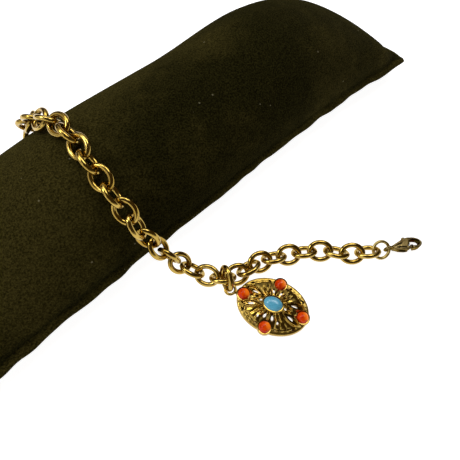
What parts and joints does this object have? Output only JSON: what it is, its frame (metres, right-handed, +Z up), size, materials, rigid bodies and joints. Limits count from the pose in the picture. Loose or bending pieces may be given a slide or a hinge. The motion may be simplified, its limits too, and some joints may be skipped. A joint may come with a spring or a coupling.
{
  "type": "charm bracelet on display cushion",
  "caption": "Oval-link gold chain bracelet with a domed openwork charm set with coloured stones, unfastened and draped over a long velvet display cushion.",
  "frame": {"origin": "middle of the whole footprint, on the surface that the cushion and the bracelet lie on", "axes": "+X along the cushion's long side, +Z up, +Y from the charm and the clasp towards the cushion"},
  "size_m": [0.22, 0.1278, 0.0446],
  "materials": {
    "gold": "polished yellow gold",
    "clasp_gold": "duller, slightly tarnished yellow gold",
    "turquoise": "opaque polished cabochon",
    "orange_stone": "translucent polished cabochon",
    "velvet": "dark olive-brown velvet"
  },
  "bodies": {
    "bracelet_and_cushion": {"link_01": "gold", "link_02": "gold", "link_03": "gold", "link_04": "gold", "link_05": "gold", "link_06": "gold", "link_07": "gold", "link_08": "gold", "link_09": "gold", "link_10": "gold", "link_11": "gold", "link_12": "gold", "link_13": "gold", "link_14": "gold", "link_15": "gold", "link_16": "gold", "link_17": "gold", "link_18": "gold", "link_19": "gold", "link_20": "gold", "link_21": "gold", "link_22": "gold", "link_23": "gold", "link_24": "gold", "link_25": "gold", "link_26": "gold", "link_27": "gold", "link_28": "gold", "link_29": "gold", "link_30": "gold", "link_31": "gold", "charm_link": "gold", "charm": "gold", "jump_ring": "clasp_gold", "clasp": "clasp_gold", "turquoise": "turquoise", "orange_stone_1": "orange_stone", "orange_stone_2": "orange_stone", "orange_stone_3": "orange_stone", "orange_stone_4": "orange_stone", "cushion": "velvet"},
    "lever": {"clasp_lever": "clasp_gold"}
  },
  "joints": [
    {"name": "clasp_lever_pivot", "type": "hinge", "parent": "bracelet_and_cushion", "child": "lever", "pos_m": [0.02912, -0.05946, 0.0019], "axis": [0.0503, -0.0328, 0.9982], "range_deg": [0, 20], "stiffness_Nm_per_rad": 0.001, "springref_deg": -11.46}
  ]
}
